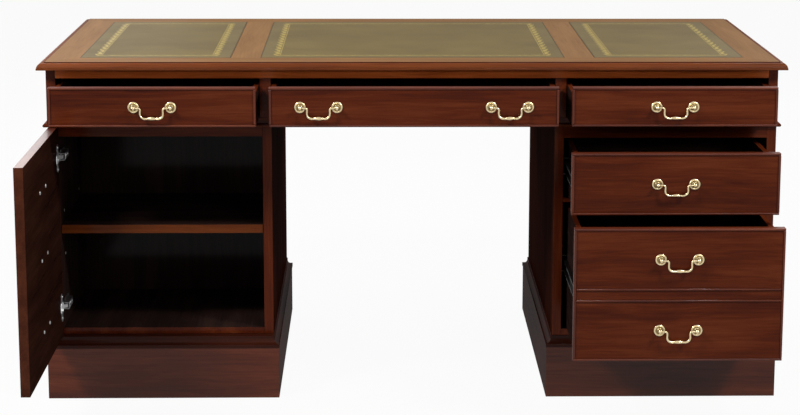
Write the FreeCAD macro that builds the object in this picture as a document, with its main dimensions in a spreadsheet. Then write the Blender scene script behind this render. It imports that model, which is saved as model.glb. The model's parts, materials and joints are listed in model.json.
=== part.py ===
import FreeCAD, Part
import os
import re

import Sketcher

# Partners desk: a leather-topped table frieze with three drawers a side, carried on two pedestals.
# Each pedestal holds a cupboard that opens to one user and two drawers that open to the other,
# so the desk looks the same after half a turn about its vertical middle axis.
#
# The desk stands on the floor at z = 0, and x = y = 0 is the plan centre of its top. X runs along
# the desk, Z is up, and the front user sits on the -Y side. Sizes are millimetres and degrees.

SIZES = {
    # top, with its moulded edge and the three leather insets
    "top_length": 1676,
    "top_depth": 838,
    "desk_height": 776,
    "top_end_overhang": 18,
    "top_side_overhang": 25,
    "edge_lip": 4,
    "edge_setback": 1,
    "edge_round": 11,
    "arris_step": 2,
    "arris_inset": 16,
    "leather_border": 87,
    "leather_rail": 66,
    "end_leather_width": 340,
    "leather_thickness": 1.2,
    "leather_gap": 0.2,
    # frieze and the moulding round its foot
    "frieze_height": 131,
    "frieze_rail_height": 21,
    "divider_thickness": 25,
    "waist_height": 7.5,
    "waist_projection": 9,
    # pedestals
    "kneehole_width": 638,
    "side_thickness": 21,
    "rail_thickness": 20,
    "partition_thickness": 12,
    "pedestal_floor": 15,
    "pedestal_rail_height": 26,
    "drawer_rail_height": 9,
    "panel_height": 137,
    "false_rail_height": 20,
    # plinths: a mitred board with a mitred cap moulding on it
    "plinth_height": 143,
    "plinth_projection": 13,
    "plinth_board_thickness": 21,
    "plinth_cap_height": 25,
    "plinth_cap_width": 60,
    "plinth_lip_height": 8,
    "plinth_lip_proud": 1.5,
    "plinth_cove": 11,
    "mitre_reach": 60,
    # drawers
    "front_side_gap": 2,
    "front_gap": 1,
    "run_gap": 0.5,
    "front_thickness": 19,
    "bead_width": 5,
    "bead_proud": 2.5,
    "box_wall": 11,
    "box_bottom": 6,
    "box_bottom_raise": 8,
    "box_side_drop": 14,
    "drawer_back_gap": 8,
    "frieze_drawer_out": 132,
    "upper_drawer_out": 190,
    "file_drawer_out": 277,
    # side runners of the pedestal drawers
    "slide_space": 13,
    "slide_gap": 0.5,
    "slide_height": 38,
    "slide_metal": 1.5,
    "slide_length": 346,
    # cupboard doors and their concealed hinges
    "door_thickness": 20,
    "door_gap": 3,
    "door_edge_gap": 0.5,
    "door_end_gap": 1,
    "door_opening": 90,
    "pole_from_edge": 8.5,
    "pole_depth": 13,
    "hinge_from_end": 70,
    "cup_from_edge": 22.5,
    "cup_radius": 17.5,
    "cup_depth": 12.8,
    "cup_wall": 1,
    "cup_play": 0.15,
    "flange_length": 54,
    "flange_width": 24,
    "flange_thickness": 1.2,
    "plate_length": 68,
    "plate_width": 18,
    "plate_thickness": 3,
    "plate_setback": 37,
    "arm_width": 12,
    "arm_height": 16,
    "arm_reach": 13.5,
    "arm_length": 50,
    "fork_depth": 13.5,
    "fork_gap": 0.3,
    "pin_radius": 1.5,
    "pin_from_nose": 3.5,
    "pin_play": 0.06,
    "link_height": 8,
    "link_head_radius": 3,
    "link_half_width": 2.5,
    "link_end": 1,
    "link_tip_from_pole": 12,
    # shelves in the cupboards
    "shelf_top": 398,
    "shelf_thickness": 20,
    "shelf_setback": 4,
    "shelf_gap": 1,
    "peg_radius": 2.5,
    "peg_length": 8,
    "peg_inset": 55,
    # swan-neck drop handles
    "rose_spacing": 81,
    "rose_radius": 12.75,
    "rose_thickness": 2.6,
    "rose_bevel_width": 3,
    "rose_bevel_height": 1.8,
    "post_radius": 5,
    "post_length": 17.5,
    "pivot_out": 13,
    "rod_radius": 2.6,
    "rod_play": 0.08,
    "pin_end_gap": 0.6,
    "bail_leg": 26,
    "bail_bend": 3.5,
    "bail_bow": 1,
    "bail_drop": 25,
    "bail_corner": 9,
    "grip_half_length": 11,
    "grip_radius": 3.7,
    "grip_taper_width": 1.3,
    "grip_taper_length": 8.5,
    "centre_handle_offset": 209,
}

PLACES = {
    # top
    "top_half_length": "top_length / 2",
    "top_half_depth": "top_depth / 2",
    "top_under": "desk_height - edge_lip - edge_round - arris_step",
    "shoulder_top": "desk_height - arris_step",
    "leather_end": "top_half_length - leather_border",
    "leather_side": "top_half_depth - leather_border",
    "rail_outer": "leather_end - end_leather_width",
    "rail_inner": "rail_outer - leather_rail",
    "leather_bed": "desk_height - leather_thickness",
    # frieze
    "case_length": "top_length - 2 * top_end_overhang",
    "case_depth": "top_depth - 2 * top_side_overhang",
    "case_end": "case_length / 2",
    "case_face": "case_depth / 2",
    "end_inner": "case_end - side_thickness",
    "rail_back": "case_face - rail_thickness",
    "frieze_under": "top_under - frieze_height",
    "frieze_bay_low": "frieze_under + frieze_rail_height",
    "frieze_bay_top": "top_under - frieze_rail_height",
    "frieze_floor_low": "frieze_bay_low - partition_thickness",
    "knee_half": "kneehole_width / 2",
    "divider_outer": "knee_half + divider_thickness",
    "partition_half": "partition_thickness / 2",
    # pedestals
    "pedestal_width": "case_end - knee_half",
    "pedestal_centre": "(case_end + knee_half) / 2",
    "bay_inner": "knee_half + side_thickness",
    "bay_centre": "(end_inner + bay_inner) / 2",
    "bay_low": "plinth_height + pedestal_floor",
    "bay_top": "frieze_under - pedestal_rail_height",
    "pedestal_top_low": "frieze_under - pedestal_floor",
    "cupboard_face": "case_face - door_thickness - door_gap",
    "cap_low": "plinth_height - plinth_cap_height",
    "lip_top": "cap_low + plinth_lip_height",
    "lip_out": "plinth_projection + plinth_lip_proud",
    "cap_top_out": "plinth_projection - plinth_cove",
    "cove_top": "lip_top + plinth_cove",
    "cap_inner": "plinth_cap_width - lip_out",
    "board_inner": "plinth_board_thickness - plinth_projection",
    # drawer fronts
    "front_outer": "end_inner - front_side_gap",
    "side_front_inner": "divider_outer + front_side_gap",
    "side_front_centre": "(front_outer + side_front_inner) / 2",
    "centre_front_half": "knee_half - front_side_gap",
    "pedestal_front_inner": "bay_inner + front_side_gap",
    "frieze_front_low": "frieze_bay_low + front_gap",
    "frieze_front_top": "frieze_bay_top - front_gap",
    "file_low": "bay_low + front_gap",
    "lower_panel_top": "file_low + panel_height",
    "middle_panel_low": "lower_panel_top + false_rail_height",
    "file_top": "middle_panel_low + panel_height",
    "drawer_rail_low": "file_top + front_gap",
    "drawer_rail_top": "drawer_rail_low + drawer_rail_height",
    "upper_low": "drawer_rail_top + front_gap",
    "upper_top": "bay_top - front_gap",
    "frieze_handle_z": "(frieze_front_low + frieze_front_top) / 2",
    "lower_handle_z": "(file_low + lower_panel_top) / 2",
    "middle_handle_z": "(middle_panel_low + file_top) / 2",
    "upper_handle_z": "(upper_low + upper_top) / 2",
    "bead_face": "case_face + bead_proud",
    "front_back": "case_face - front_thickness",
    "drawer_end": "partition_half + drawer_back_gap",
    "slide_inset": "slide_space - front_side_gap",
    "slide_depth": "slide_space - slide_gap",
    "slide_centre": "(front_back + drawer_end) / 2",
    # doors and hinges
    "door_inner_face": "case_face - door_thickness",
    "door_outer_edge": "case_end - door_edge_gap",
    "door_inner_edge": "knee_half + door_edge_gap",
    "door_low": "plinth_height + door_end_gap",
    "door_top": "frieze_under - door_end_gap",
    "pole_x": "pole_from_edge - door_outer_edge",
    "pole_y": "-door_inner_face - pole_depth",
    "cup_x": "cup_from_edge - door_outer_edge",
    "cup_void_radius": "cup_radius - cup_wall",
    "cup_void_depth": "cup_depth - cup_wall",
    "low_hinge_z": "plinth_height + hinge_from_end",
    "top_hinge_z": "frieze_under - hinge_from_end",
    "plate_face": "plate_thickness - end_inner",
    "arm_nose": "-cupboard_face - arm_reach",
    "arm_pin_x": "plate_face + arm_width / 2",
    "arm_pin_y": "arm_nose + pin_from_nose",
    "fork_half": "link_height / 2 + fork_gap",
    "pin_dx": "arm_pin_x - pole_x",
    "pin_dy": "arm_pin_y - pole_y",
    "pin_from_pole": "sqrt(pin_dx ^ 2 + pin_dy ^ 2)",
    "link_length": "sqrt(pin_from_pole ^ 2 + link_tip_from_pole ^ 2"
    " - 2 * pin_from_pole * link_tip_from_pole * cos(45))",
    "link_half_swing": "asin(link_tip_from_pole * sin(45) / link_length) / 1deg",
    "link_closed_angle": "180 + atan2(pin_dy; pin_dx) / 1deg - link_half_swing",
    "link_ratio": "link_half_swing / 45",
    # cupboard shelves
    "shelf_low": "shelf_top - shelf_thickness",
    "shelf_front": "cupboard_face - shelf_setback",
    "shelf_end": "end_inner - shelf_gap",
    "shelf_inner": "bay_inner + shelf_gap",
    "shelf_back": "partition_half + shelf_gap",
    "peg_z": "shelf_low - peg_radius",
    # handles
    "handle_y": "-case_face - pivot_out",
    "half_spacing": "rose_spacing / 2",
    "pin_end": "half_spacing - pin_end_gap",
    "bail_out": "bail_leg + bail_bow",
    "corner_step": "bail_corner * (1 - cos(45))",
    "post_hole_radius": "(rod_radius + rod_play) / cos(180 / rod_sides)",
}

FACETS = {
    # The many small rods, pegs and roses have few flat sides.
    "rod_sides": 6,
    "rose_sides": 10,
}

VECTOR = FreeCAD.Vector
ORIGIN = VECTOR(0, 0, 0)
UP = VECTOR(0, 0, 1)
ALONG_X = FreeCAD.Rotation(VECTOR(0, 1, 0), 90)
ALONG_FRONT = FreeCAD.Rotation(VECTOR(1, 0, 0), 90)
HALF_TURN = 180
QUARTER_TURN = 90
LEVEL_TOLERANCE = 1e-6

LEATHER_SPANS = (
    ("-leather_end", "-rail_outer"),
    ("-rail_inner", "rail_inner"),
    ("rail_outer", "leather_end"),
)

PANELS = {
    "lower": ("file_low", "lower_panel_top"),
    "middle": ("middle_panel_low", "file_top"),
    "upper": ("upper_low", "upper_top"),
}

DRAWER_OUT = {
    "frieze_left": "frieze_drawer_out",
    "frieze_centre": "frieze_drawer_out",
    "frieze_right": "frieze_drawer_out",
    "upper": "upper_drawer_out",
    "file": "file_drawer_out",
}

doc = FreeCAD.newDocument("partners_desk")
nodes = []


# ---------------------------------------------------------------- sizes and formulas


def fill_sheet(name, cells):
    """Make a spreadsheet with one named cell in each row."""
    sheet = doc.addObject("Spreadsheet::Sheet", name)
    for row, (alias, content) in enumerate(cells.items(), start=1):
        sheet.set(f"A{row}", alias)
        sheet.set(f"B{row}", str(content))
        sheet.setAlias(f"B{row}", alias)
    return sheet


def formula(text):
    """Write a formula of size names as an expression that names each one's sheet."""

    def full_name(match):
        word = match[0]
        if word in SIZES or word in FACETS:
            return f"Sizes.{word}"
        return f"Places.{word}" if word in PLACES else word

    return re.sub(r"[a-z]\w*", full_name, text)


sizes = fill_sheet("Sizes", {**SIZES, **FACETS})
places = fill_sheet("Places", {name: f"={formula(text)}" for name, text in PLACES.items()})
doc.recompute()


def value(text):
    """The number that a formula gives now."""
    return float(sizes.evalExpression(formula(text)))


def bind(thing, **properties):
    """Tie properties of a document object to formulas; x, y, z and turn place it."""
    paths = {"x": "Placement.Base.x", "y": "Placement.Base.y", "z": "Placement.Base.z"}
    paths["turn"] = "Placement.Rotation.Angle"
    for name, text in properties.items():
        thing.setExpression(paths.get(name, name), formula(text))
    return thing


# ---------------------------------------------------------------- building blocks


def board(name, x, y, z):
    """A squared board between the low and high formulas of each axis."""
    piece = doc.addObject("Part::Box", name)
    for side, size, (low, high) in zip("xyz", ("Length", "Width", "Height"), (x, y, z)):
        bind(piece, **{side: low, size: f"({high}) - ({low})"})
    return piece


def rod(name, radius, length, x, y, z, rotation=None):
    """A round rod from a point, standing up unless it is rotated."""
    piece = doc.addObject("Part::Cylinder", name)
    if rotation:
        piece.Placement = FreeCAD.Placement(ORIGIN, rotation)
    return bind(piece, Radius=radius, Height=length, x=x, y=y, z=z)


def polygon(name, sides, radius, rotation=None, **place):
    """A regular polygon wire about a point."""
    wire = doc.addObject("Part::RegularPolygon", name)
    if rotation:
        wire.Placement = FreeCAD.Placement(ORIGIN, rotation)
    return bind(wire, Polygon=sides, Circumradius=radius, **place)


def fused(name, *shapes):
    joined = doc.addObject("Part::MultiFuse", name)
    joined.Shapes = shapes
    return joined


def cut(name, base, tool):
    rest = doc.addObject("Part::Cut", name)
    rest.Base = base
    rest.Tool = tool
    return rest


def group(name, pieces, axis=UP, **place):
    """Separate solids that are placed together, turned about an axis through the group's origin."""
    together = doc.addObject("Part::Compound", name)
    together.Links = pieces
    if "turn" in place:
        together.Placement = FreeCAD.Placement(ORIGIN, FreeCAD.Rotation(axis, QUARTER_TURN))
    return bind(together, **place)


def node(name, pieces, **place):
    """A named sub-part of the desk, written to a file of its own."""
    part = group(name, pieces, **place)
    part.Label = name
    nodes.append(part)
    return part


def facing(side, x="0", y="0", z="0"):
    """Where something at x, y on the front user's side stands on a side of the desk."""
    if side == "front":
        return {"x": x, "y": y, "z": z}
    return {"x": f"-({x})", "y": f"-({y})", "z": z, "turn": str(HALF_TURN)}


def new_body(name):
    return doc.addObject("PartDesign::Body", name)


def sketch_on(body, name, plane_role, **offset):
    """A sketch on one of its body's own origin planes."""
    sketch = body.newObject("Sketcher::SketchObject", name)
    plane = next(p for p in body.Origin.OriginFeatures if p.Role == plane_role)
    sketch.AttachmentSupport = [(plane, "")]
    sketch.MapMode = "FlatFace"
    for side, text in offset.items():
        sketch.setExpression(f"AttachmentOffset.Base.{side}", formula(text))
    return sketch


def pin_point(sketch, geometry, end, x, y):
    """Hold one point of a sketch at formulas measured from the sketch's origin."""
    for kind, axis, text in (("DistanceX", -2, x), ("DistanceY", -1, y)):
        if text == "0":
            sketch.addConstraint(Sketcher.Constraint("PointOnObject", geometry, end, axis))
        elif text:
            held = Sketcher.Constraint(kind, -1, 1, geometry, end, value(text))
            number = sketch.addConstraint(held)
            sketch.setExpression(f"Constraints[{number}]", formula(text))


def outline(sketch, corners, closed=True):
    """Draw lines through the corners, each an (x, y) pair of formulas.

    A corner with two more formulas starts a quarter arc about the centre that they give. The
    sketch holds the centre's x, and its y follows from the arc's two ends.
    """
    first = sketch.GeometryCount
    points = [VECTOR(value(c[0]), value(c[1]), 0) for c in corners]
    count = len(corners) if closed else len(corners) - 1
    ends = []
    for i in range(count):
        here, there = points[i], points[(i + 1) % len(corners)]
        if len(corners[i]) == 4:
            middle = VECTOR(value(corners[i][2]), value(corners[i][3]), 0)
            clockwise = ((here - middle).cross(there - middle)).z < 0
            low, high = (there, here) if clockwise else (here, there)
            circle = Part.Circle(middle, UP, (here - middle).Length)
            arc = Part.ArcOfCircle(circle, circle.parameter(low), circle.parameter(high))
            sketch.addGeometry(arc, False)
            ends.append((2, 1) if clockwise else (1, 2))
        else:
            sketch.addGeometry(Part.LineSegment(here, there), False)
            ends.append((1, 2))
    for i in range(count if closed else count - 1):
        after = (i + 1) % count
        meet = Sketcher.Constraint(
            "Coincident", first + i, ends[i][1], first + after, ends[after][0]
        )
        sketch.addConstraint(meet)
    for i in range(count):
        pin_point(sketch, first + i, ends[i][0], corners[i][0], corners[i][1])
        if len(corners[i]) == 4:
            pin_point(sketch, first + i, 3, corners[i][2], "")
    if not closed:
        pin_point(sketch, first + count - 1, ends[-1][1], corners[-1][0], corners[-1][1])


def rectangle(sketch, x_low, x_high, y_low, y_high):
    outline(sketch, [(x_low, y_low), (x_high, y_low), (x_high, y_high), (x_low, y_high)])


def pad(body, name, sketch, length, middle=False):
    feature = body.newObject("PartDesign::Pad", name)
    feature.Profile = sketch
    feature.setExpression("Length", formula(length))
    if middle:
        feature.SideType = "Symmetric"
    return feature


def edges_at_height(shape, height):
    """Names of the edges that lie level at a height."""
    names = []
    for i, edge in enumerate(shape.Edges, start=1):
        if all(abs(v.Z - height) < LEVEL_TOLERANCE for v in edge.Vertexes):
            names.append(f"Edge{i}")
    return names


def prism(body, name, sides, radius, height, foot="0", cutting=False, rotation=None):
    """A regular prism standing on its body's XY plane, or cut out of it."""
    kind = "Subtractive" if cutting else "Additive"
    feature = body.newObject(f"PartDesign::{kind}Prism", name)
    plane = next(p for p in body.Origin.OriginFeatures if p.Role == "XY_Plane")
    feature.AttachmentSupport = [(plane, "")]
    feature.MapMode = "FlatFace"
    if rotation:
        feature.AttachmentOffset = FreeCAD.Placement(ORIGIN, rotation)
    feature.setExpression("AttachmentOffset.Base.z", formula(foot))
    return bind(feature, Polygon=sides, Circumradius=radius, Height=height)


def bevel(body, name, base, heights, width, height):
    """Slope the level edges at some heights, by a width across and a height down the sides."""
    doc.recompute()
    feature = body.newObject("PartDesign::Chamfer", name)
    edges = [edge for level in heights for edge in edges_at_height(base.Shape, value(level))]
    feature.Base = (base, edges)
    feature.ChamferType = "Two distances"
    return bind(feature, Size=height, Size2=width)


def mitred_strip(name, profile, run):
    """A moulding along X whose seat is the plane y = 0, with both ends mitred for a frame.

    The profile's corners are formulas of y and z, and run is the length of the seat.
    """
    body = new_body(name)
    section = sketch_on(body, f"{name}_section", "YZ_Plane")
    outline(section, profile)
    pad(body, f"{name}_length", section, f"{run} + 2 * mitre_reach", middle=True)
    mitres = sketch_on(body, f"{name}_mitres", "XY_Plane")
    for sign in ("", "-"):
        far = f"{sign}({run} / 2 + mitre_reach)"
        near = f"{sign}({run} / 2 - mitre_reach)"
        outline(mitres, [(far, "-mitre_reach"), (far, "mitre_reach"), (near, "mitre_reach")])
    trim = body.newObject("PartDesign::Pocket", f"{name}_trim")
    trim.Profile = mitres
    trim.Type = "ThroughAll"
    trim.SideType = "Symmetric"
    return body


def mitred_frame(name, profile, length, depth, x="0"):
    """Four mitred strips round a rectangle that is length by depth, centred at x."""
    long_strip = mitred_strip(f"{name}_long", profile, length)
    short_strip = mitred_strip(f"{name}_short", profile, depth)
    sides = (
        (long_strip, x, f"-{depth} / 2", "0"),
        (short_strip, f"{x} + {length} / 2", "0", str(QUARTER_TURN)),
        (long_strip, x, f"{depth} / 2", str(HALF_TURN)),
        (short_strip, f"{x} - {length} / 2", "0", str(-QUARTER_TURN)),
    )
    return [
        group(f"{name}_side", [strip], x=at_x, y=at_y, turn=turn)
        for strip, at_x, at_y, turn in sides
    ]


# ---------------------------------------------------------------- top


def build_top():
    """One board with a thumbnail moulded edge and three shallow beds for the leather."""
    body = new_body("top_board")

    def slab(name, low, height, inset):
        sketch = sketch_on(body, f"{name}_outline", "XY_Plane", z=low)
        x = f"top_half_length - {inset}"
        y = f"top_half_depth - {inset}"
        rectangle(sketch, f"-({x})", x, f"-({y})", y)
        return pad(body, name, sketch, height)

    rounded = slab("rounded_slab", "top_under", "edge_lip + edge_round", "edge_setback")
    doc.recompute()
    thumbnail = body.newObject("PartDesign::Fillet", "thumbnail")
    thumbnail.Base = (rounded, edges_at_height(rounded.Shape, value("shoulder_top")))
    thumbnail.setExpression("Radius", formula("edge_round"))
    slab("lip_slab", "top_under", "edge_lip", "0")
    slab("raised_slab", "top_under", "edge_lip + edge_round + arris_step", "arris_inset")

    beds = sketch_on(body, "leather_beds_outline", "XY_Plane", z="desk_height")
    for low, high in LEATHER_SPANS:
        rectangle(beds, low, high, "-leather_side", "leather_side")
    recess = body.newObject("PartDesign::Pocket", "leather_beds")
    recess.Profile = beds
    recess.setExpression("Length", formula("leather_thickness"))
    node("top_panel", [body])


def build_leather():
    """Three skivers, flush with the wood round them."""
    hides = []
    for low, high in LEATHER_SPANS:
        x = (f"{low} + leather_gap", f"{high} - leather_gap")
        y = ("-leather_side + leather_gap", "leather_side - leather_gap")
        hides.append(board("hide", x, y, ("leather_bed", "desk_height")))
    node("leather_insets", hides)


# ---------------------------------------------------------------- frieze and its moulding


def build_frieze():
    """The drawer case under the top: ends, rails, dividers, dust floor and a middle partition."""
    between_ends = ("-end_inner", "end_inner")
    pieces = [
        board("end", x, ("-case_face", "case_face"), ("frieze_under", "top_under"))
        for x in (("-case_end", "-end_inner"), ("end_inner", "case_end"))
    ]
    middle = ("-partition_half", "partition_half")
    pieces.append(board("partition", between_ends, middle, ("frieze_bay_low", "top_under")))
    floor = ("frieze_floor_low", "frieze_bay_low")
    pieces.append(board("dust_floor", between_ends, ("-rail_back", "rail_back"), floor))
    for face in (("-case_face", "-rail_back"), ("rail_back", "case_face")):
        pieces.append(board("top_rail", between_ends, face, ("frieze_bay_top", "top_under")))
        pieces.append(board("foot_rail", between_ends, face, ("frieze_under", "frieze_bay_low")))
    bay = ("frieze_bay_low", "frieze_bay_top")
    for depth in (("-case_face", "-partition_half"), ("partition_half", "case_face")):
        for width in (("-divider_outer", "-knee_half"), ("knee_half", "divider_outer")):
            pieces.append(board("divider", width, depth, bay))
    node("frieze_case", pieces)


def build_waist_moulding():
    """A half-round bead in four mitred strips, planted round the foot of the frieze."""
    low = "frieze_under"
    middle = "frieze_under + waist_height / 2"
    high = "frieze_under + waist_height"
    shoulder = "waist_height / 2 - waist_projection"
    profile = [
        ("0", low),
        ("0", high),
        (shoulder, high, shoulder, middle),
        ("-waist_projection", middle, shoulder, middle),
        (shoulder, low),
    ]
    node("waist_moulding", mitred_frame("waist", profile, "case_length", "case_depth"))


# ---------------------------------------------------------------- pedestals and plinths


def build_pedestals():
    """Two cases, each with the cupboard behind a set-back edge and the drawers behind a flush one."""
    depth = ("-cupboard_face", "case_face")
    height = ("plinth_height", "frieze_under")
    across = ("-end_inner", "-bay_inner")
    rear = ("rail_back", "case_face")
    front = ("-cupboard_face", "rail_thickness - cupboard_face")
    rail = ("bay_top", "frieze_under")
    pieces = [
        board("outer_side", ("-case_end", "-end_inner"), depth, height),
        board("inner_side", ("-bay_inner", "-knee_half"), depth, height),
        board("floor", across, depth, ("plinth_height", "bay_low")),
        board("cupboard_rail", across, front, rail),
        board("drawer_top_rail", across, rear, rail),
        board("drawer_rail", across, rear, ("drawer_rail_low", "drawer_rail_top")),
        board("ceiling", across, (front[1], rear[0]), ("pedestal_top_low", "frieze_under")),
        board(
            "partition",
            across,
            ("-partition_half", "partition_half"),
            ("bay_low", "pedestal_top_low"),
        ),
    ]
    node("pedestal_left", pieces)
    node("pedestal_right", pieces, turn=str(HALF_TURN))


def build_plinths():
    """Hollow bases: four mitred boards with four mitred cove-moulded caps on them."""
    boards = [
        ("-plinth_projection", "0"),
        ("board_inner", "0"),
        ("board_inner", "cap_low"),
        ("-plinth_projection", "cap_low"),
    ]
    caps = [
        ("cap_inner", "cap_low"),
        ("cap_inner", "plinth_height"),
        ("-cap_top_out", "plinth_height"),
        ("-cap_top_out", "cove_top", "-plinth_projection", "cove_top"),
        ("-plinth_projection", "lip_top"),
        ("-lip_out", "lip_top"),
        ("-lip_out", "cap_low"),
    ]
    pieces = []
    for name, profile in (("plinth_board", boards), ("plinth_cap", caps)):
        pieces += mitred_frame(name, profile, "pedestal_width", "case_depth", "-pedestal_centre")
    node("plinth_left", pieces)
    node("plinth_right", pieces, turn=str(HALF_TURN))


# ---------------------------------------------------------------- drawers


def bead_frame(x, z, back):
    """Cockbead strips round a rectangle, standing proud of the case face."""
    depth = ("-bead_face", back)
    between = (f"{z[0]} + bead_width", f"{z[1]} - bead_width")
    return [
        board("bead_low", x, depth, (z[0], between[0])),
        board("bead_top", x, depth, (between[1], z[1])),
        board("bead_left", (x[0], f"{x[0]} + bead_width"), depth, between),
        board("bead_right", (f"{x[1]} - bead_width", x[1]), depth, between),
    ]


def drawer_pieces(x, z, box_inset):
    """A shut drawer on the front side: its beaded front, sides, back and bottom."""
    inside = (f"{x[0]} + bead_width", f"{x[1]} - bead_width")
    inner_z = (f"{z[0]} + bead_width", f"{z[1]} - bead_width")
    pieces = [board("front", inside, ("-case_face", "-front_back"), inner_z)]
    pieces += bead_frame(x, z, "-front_back")
    low = f"{z[0]} - front_gap + run_gap"
    high = f"{z[1]} - box_side_drop"
    depth = ("-front_back", "-drawer_end")
    left = (f"{x[0]} + {box_inset}", f"{x[0]} + {box_inset} + box_wall")
    right = (f"{x[1]} - {box_inset} - box_wall", f"{x[1]} - {box_inset}")
    back = ("-drawer_end - box_wall", "-drawer_end")
    bottom = (f"{low} + box_bottom_raise", f"{low} + box_bottom_raise + box_bottom")
    pieces.append(board("left_side", left, depth, (low, high)))
    pieces.append(board("right_side", right, depth, (low, high)))
    pieces.append(board("back", (left[1], right[0]), back, (low, high)))
    pieces.append(board("bottom", (left[1], right[0]), (depth[0], back[0]), bottom))
    return pieces


def build_drawers():
    """Three frieze drawers, an upper drawer and a file drawer for each side of the desk."""
    frieze_z = ("frieze_front_low", "frieze_front_top")
    pedestal_x = ("pedestal_front_inner", "front_outer")
    drawers = {
        "frieze_left": drawer_pieces(("-front_outer", "-side_front_inner"), frieze_z, "0"),
        "frieze_centre": drawer_pieces(("-centre_front_half", "centre_front_half"), frieze_z, "0"),
        "frieze_right": drawer_pieces(("side_front_inner", "front_outer"), frieze_z, "0"),
        "upper": drawer_pieces(pedestal_x, ("upper_low", "upper_top"), "slide_inset"),
        "file": drawer_pieces(pedestal_x, ("file_low", "file_top"), "slide_inset"),
    }
    between = (f"{pedestal_x[0]} + bead_width", f"{pedestal_x[1]} - bead_width")
    for z in (
        ("lower_panel_top - bead_width", "lower_panel_top"),
        ("middle_panel_low", "middle_panel_low + bead_width"),
    ):
        drawers["file"].append(board("cross_bead", between, ("-bead_face", "-case_face"), z))
    for side in ("front", "rear"):
        for name, pieces in drawers.items():
            out = DRAWER_OUT[name] if side == "front" else "0"
            node(f"{side}_{name}_drawer", pieces, **facing(side, y=f"-{out}"))


def build_runners():
    """Steel channels on the case sides, which carry the pedestal drawers."""
    body = new_body("runner_channel")
    section = sketch_on(body, "runner_section", "XZ_Plane")
    half = "slide_height / 2"
    lip = f"{half} - slide_metal"
    corners = [
        ("0", f"-({half})"),
        ("slide_depth", f"-({half})"),
        ("slide_depth", f"-({lip})"),
        ("slide_metal", f"-({lip})"),
        ("slide_metal", lip),
        ("slide_depth", lip),
        ("slide_depth", half),
        ("0", half),
    ]
    outline(section, corners)
    pad(body, "runner_length", section, "slide_length", middle=True)
    runners = []
    for z in ("upper_handle_z", "(lower_panel_top + middle_panel_low) / 2"):
        near = group("runner", [body], x="bay_inner", y="-slide_centre", z=z)
        far = group("runner", [body], x="end_inner", y="-slide_centre", z=z, turn=str(HALF_TURN))
        runners += [near, far]
    other_side = group("rear_runners", runners, turn=str(HALF_TURN))
    node("drawer_runners", runners + [other_side])


# ---------------------------------------------------------------- cupboards


def about_pole(angle):
    """Place something drawn on a shut front door as the door stands when opened by an angle."""
    return {
        "x": f"pole_x - pole_x * cos({angle}) - pole_y * sin({angle})",
        "y": f"pole_y + pole_x * sin({angle}) - pole_y * cos({angle})",
        "turn": f"-{angle}",
    }


def build_doors():
    """Overlay doors dressed with three false drawer fronts, and the hinge cups let into them."""
    slab = board(
        "slab",
        ("-door_outer_edge", "-door_inner_edge"),
        ("-case_face", "-door_inner_face"),
        ("door_low", "door_top"),
    )
    bores = []
    cups = []
    for z in ("low_hinge_z", "top_hinge_z"):
        at_face = ("cup_x", "-door_inner_face", z, ALONG_FRONT)
        bores.append(rod("bore", "cup_radius + cup_play", "cup_depth", *at_face))
        flange = board(
            "flange",
            ("cup_x - flange_width / 2", "cup_x + flange_width / 2"),
            ("-door_inner_face", "flange_thickness - door_inner_face"),
            (f"{z} - flange_length / 2", f"{z} + flange_length / 2"),
        )
        shell = fused("cup_shell", rod("cup_wall", "cup_radius", "cup_depth", *at_face), flange)
        void = rod(
            "cup_void",
            "cup_void_radius",
            "cup_void_depth + flange_thickness",
            "cup_x",
            "flange_thickness - door_inner_face",
            z,
            ALONG_FRONT,
        )
        cups.append(cut("cup", shell, void))
    bored_slab = cut("door_slab", slab, fused("door_bores", *bores))

    x = ("-front_outer", "-pedestal_front_inner")
    pieces = [bored_slab]
    for z in PANELS.values():
        pieces += bead_frame(x, z, "-case_face")
    node("front_door", pieces, **about_pole("door_opening"))
    node("rear_door", pieces, turn=str(HALF_TURN))
    node("front_hinge_cups", cups, **about_pole("door_opening"))
    node("rear_hinge_cups", cups, turn=str(HALF_TURN))


def build_hinges():
    """Hinge arms forked round a pin on the case, and a link on each pin that reaches into the cup."""
    slot_x = ("plate_face", "plate_face + arm_width")
    arms = []
    for z in ("low_hinge_z", "top_hinge_z"):
        plate_y = "plate_setback - cupboard_face"
        plate = board(
            "plate",
            ("-end_inner", "plate_face"),
            (f"{plate_y} - plate_width / 2", f"{plate_y} + plate_width / 2"),
            (f"{z} - plate_length / 2", f"{z} + plate_length / 2"),
        )
        arm_y = ("arm_nose", "arm_length - cupboard_face")
        arm_z = (f"{z} - arm_height / 2", f"{z} + arm_height / 2")
        slot_y = ("arm_nose", "arm_nose + fork_depth")
        arm = board("arm", slot_x, arm_y, arm_z)
        slot = board("slot", slot_x, slot_y, (f"{z} - fork_half", f"{z} + fork_half"))
        pin_foot = f"{z} - fork_half"
        pin = rod("pin", "pin_radius", "2 * fork_half", "arm_pin_x", "arm_pin_y", pin_foot)
        arms += [plate, cut("forked_arm", arm, slot), pin]
    other_side = group("rear_arms", arms, turn=str(HALF_TURN))
    node("hinge_arms", arms + [other_side])

    thick = ("-link_height / 2", "link_height / 2")
    across = ("-link_half_width", "link_half_width")
    bar = board("bar", ("0", "link_length + link_end"), across, thick)
    head = new_body("head")
    prism(head, "head_height", "rod_sides", "link_head_radius", "link_height", thick[0])
    eye = rod("eye", "pin_radius + pin_play", "link_height", "0", "0", thick[0])
    link = cut("link", fused("link_blank", bar, head), eye)
    for side, opened in (("front", "link_ratio * door_opening"), ("rear", "0")):
        links = [
            group(
                "placed_link",
                [link],
                x="arm_pin_x",
                y="arm_pin_y",
                z=z,
                turn=f"link_closed_angle + {opened}",
            )
            for z in ("low_hinge_z", "top_hinge_z")
        ]
        node(f"{side}_hinge_links", links, **facing(side))


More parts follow.
